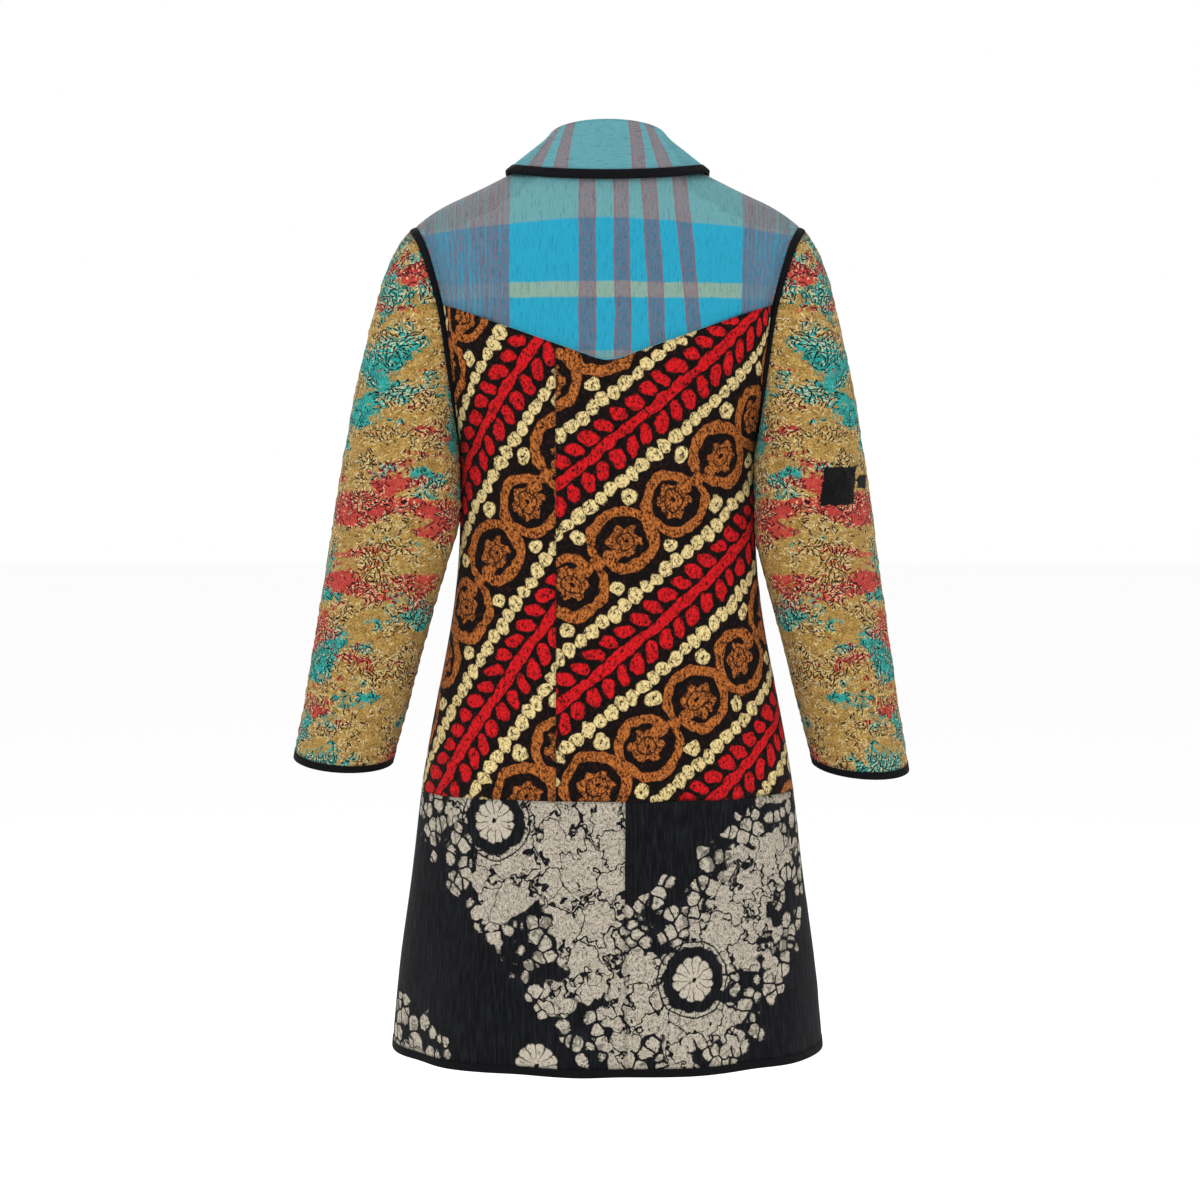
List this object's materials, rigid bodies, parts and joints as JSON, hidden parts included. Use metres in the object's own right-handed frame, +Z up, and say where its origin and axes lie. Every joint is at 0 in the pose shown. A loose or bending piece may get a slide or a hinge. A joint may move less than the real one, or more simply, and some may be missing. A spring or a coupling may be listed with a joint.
{
  "type": "reversible coat",
  "caption": "Thigh-length patchwork coat on an invisible wearer, with a checked yoke and turned-down collar, printed body and skirt, puckered sleeves and black binding.",
  "frame": {"origin": "midway between the shoulders that hold the coat up, 905 mm above the level of the hem", "axes": "+Z up; the wearer faces -Y, so the back that the picture shows faces +Y; +X is the wearer's left"},
  "size_m": [0.6634, 0.3273, 0.9783],
  "materials": {
    "checked_cotton": "matte checked cotton, blue with mauve-grey stripes, finely crinkled",
    "banded_print": "matte cotton printed in red, cream and brown diagonal bands on near black, finely crinkled",
    "black_print": "matte charcoal cotton printed with stone-coloured areas and rosettes, finely crinkled",
    "puckered_ochre": "soft ochre cloth with teal and coral patches, densely puckered by running stitches",
    "black_tape": "matte black cotton binding"
  },
  "bodies": {
    "root": {"back_yoke": "checked_cotton", "collar": "checked_cotton", "back_left": "banded_print", "back_right": "banded_print", "front_left": "banded_print", "front_right": "banded_print", "back_skirt_left": "black_print", "back_skirt_right": "black_print", "front_skirt_left": "black_print", "front_skirt_right": "black_print", "sleeve_left": "puckered_ochre", "sleeve_right": "puckered_ochre", "tape_front_left": "black_tape", "tape_front_right": "black_tape", "tape_hem": "black_tape", "tape_cuff_left": "black_tape", "tape_cuff_right": "black_tape", "tape_armhole_left": "black_tape", "tape_armhole_right": "black_tape", "tape_collar_edge": "black_tape", "tape_collar_end_left": "black_tape", "tape_collar_end_right": "black_tape"}
  },
  "joints": []
}
